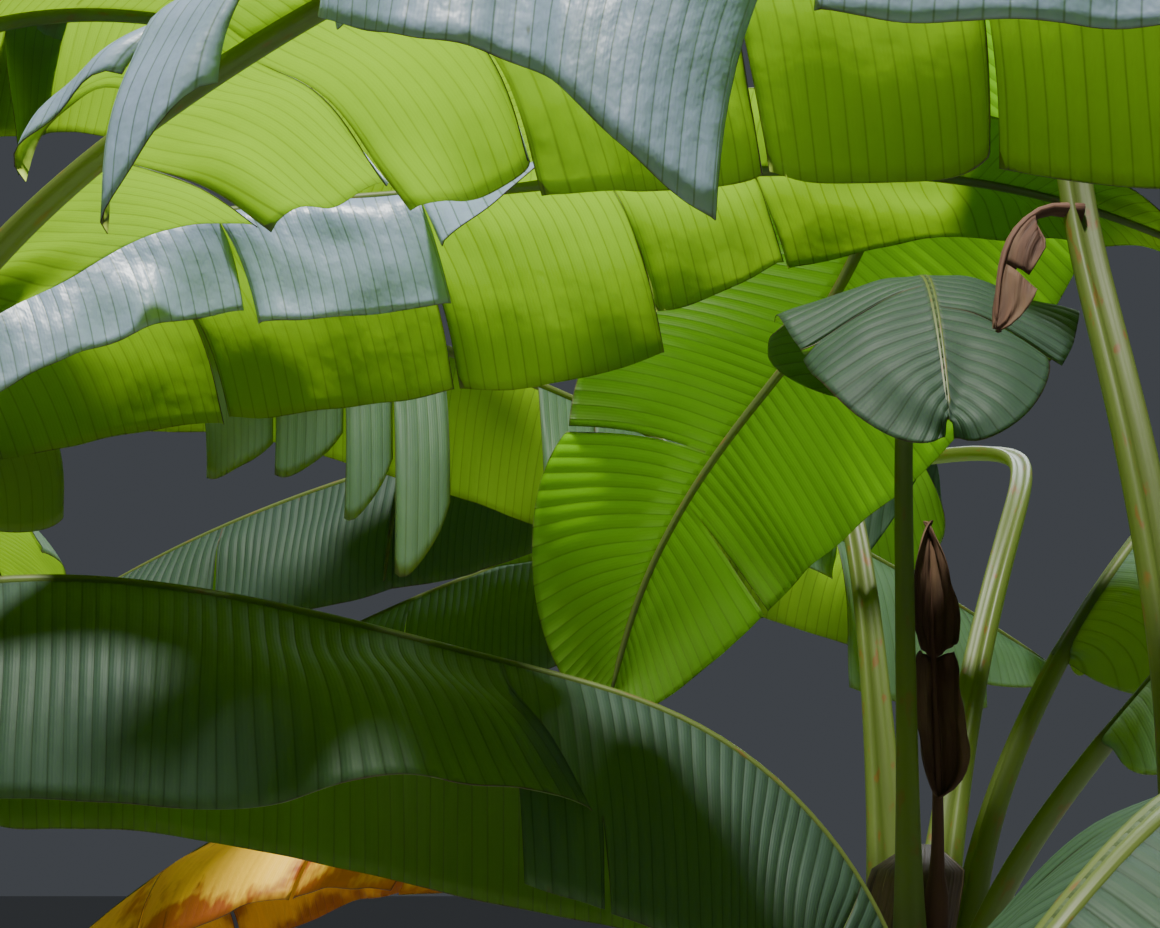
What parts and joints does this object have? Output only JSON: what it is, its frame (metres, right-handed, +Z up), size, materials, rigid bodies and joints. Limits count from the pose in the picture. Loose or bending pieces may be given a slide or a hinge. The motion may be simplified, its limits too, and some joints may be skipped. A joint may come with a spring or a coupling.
{
  "type": "banana plant",
  "caption": "Banana plant: a clump of leaning stems from one root, with long arching leaves torn along their veins, some of them yellow or dead.",
  "frame": {"origin": "middle of the flat cut at ground level under the main stem", "axes": "+Z up, +X to the right in the picture, +Y away from its camera"},
  "size_m": [4.8964, 3.5488, 2.8711],
  "materials": {
    "stem": "matte, sheathed by old leaf bases",
    "leaf": "waxy green, ribbed along the veins",
    "yellow_leaf": "yellow with brown spots",
    "dead_leaf": "dry brown"
  },
  "bodies": {
    "root": {"main_dead_leaf": "dead_leaf", "main_leaf_10_part_1": "leaf", "main_leaf_10_part_2": "leaf", "main_leaf_2_part_1": "leaf", "main_leaf_2_part_2": "leaf", "main_leaf_3_part_1": "leaf", "main_leaf_3_part_2": "leaf", "main_leaf_4_part_1": "leaf", "main_leaf_4_part_2": "leaf", "main_leaf_5_part_1": "leaf", "main_leaf_5_part_2": "leaf", "main_leaf_6_part_1": "leaf", "main_leaf_6_part_2": "leaf", "main_leaf_7_part_1": "leaf", "main_leaf_7_part_2": "leaf", "main_leaf_8_part_1": "leaf", "main_leaf_8_part_2": "leaf", "main_leaf_9_part_1": "leaf", "main_leaf_9_part_2": "leaf", "main_stem": "stem", "middle_dead_leaf": "dead_leaf", "middle_dead_stalk": "dead_leaf", "middle_leaf_1_part_1": "leaf", "middle_leaf_1_part_2": "leaf", "middle_leaf_2_part_1": "yellow_leaf", "middle_leaf_2_part_2": "yellow_leaf", "middle_leaf_3_part_1": "leaf", "middle_leaf_3_part_2": "leaf", "middle_leaf_4_part_1": "leaf", "middle_leaf_4_part_2": "leaf", "middle_leaf_5_part_1": "leaf", "middle_leaf_5_part_2": "leaf", "middle_leaf_6_part_1": "leaf", "middle_leaf_6_part_2": "leaf", "middle_stem": "stem", "right_dead_leaf": "dead_leaf", "right_dead_rag": "dead_leaf", "right_leaf_1_part_1": "leaf", "right_leaf_1_part_2": "leaf", "right_leaf_2_part_1": "leaf", "right_leaf_2_part_2": "leaf", "right_leaf_3_part_1": "leaf", "right_leaf_3_part_2": "leaf", "right_leaf_4_part_1": "leaf", "right_leaf_4_part_2": "leaf", "right_leaf_5_part_1": "leaf", "right_leaf_5_part_2": "leaf", "right_leaf_5_part_3": "leaf", "right_stem": "stem"}
  },
  "joints": []
}
